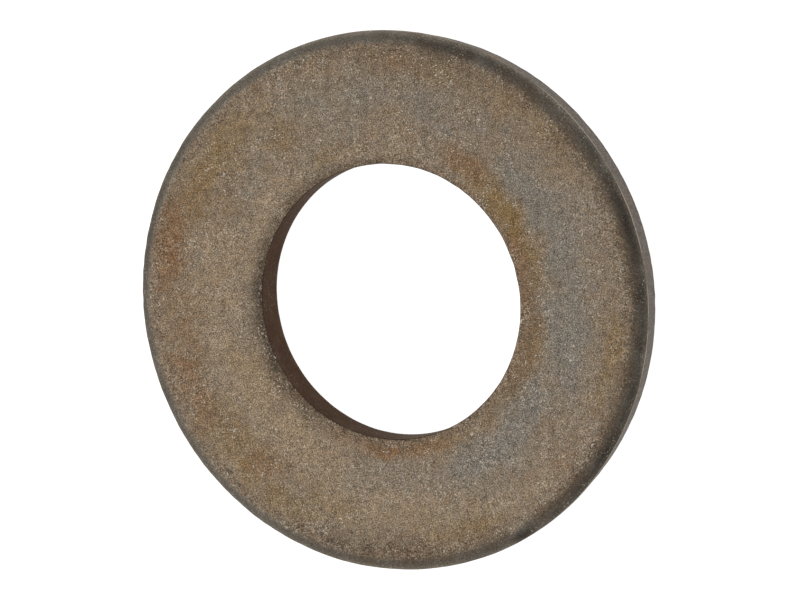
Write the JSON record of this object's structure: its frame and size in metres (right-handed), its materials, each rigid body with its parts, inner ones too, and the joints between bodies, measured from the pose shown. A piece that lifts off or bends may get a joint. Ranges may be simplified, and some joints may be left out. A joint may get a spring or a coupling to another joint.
{
  "type": "flat washer",
  "caption": "Plain round flat washer with a central clearance bore, for spreading the load under a bolt head or nut.",
  "frame": {"origin": "centre of the lower bearing face, on the bore axis", "axes": "+Z along the bore axis, out of the face whose outside edge is rolled; X and Y lie in the lower face"},
  "size_m": [0.027, 0.027, 0.0024],
  "materials": {
    "plain_steel": "plain uncoated steel, satin, finely grained, browned by oil and air with grey, olive and rust tints"
  },
  "bodies": {
    "root": {"flat_washer": "plain_steel"}
  },
  "joints": []
}
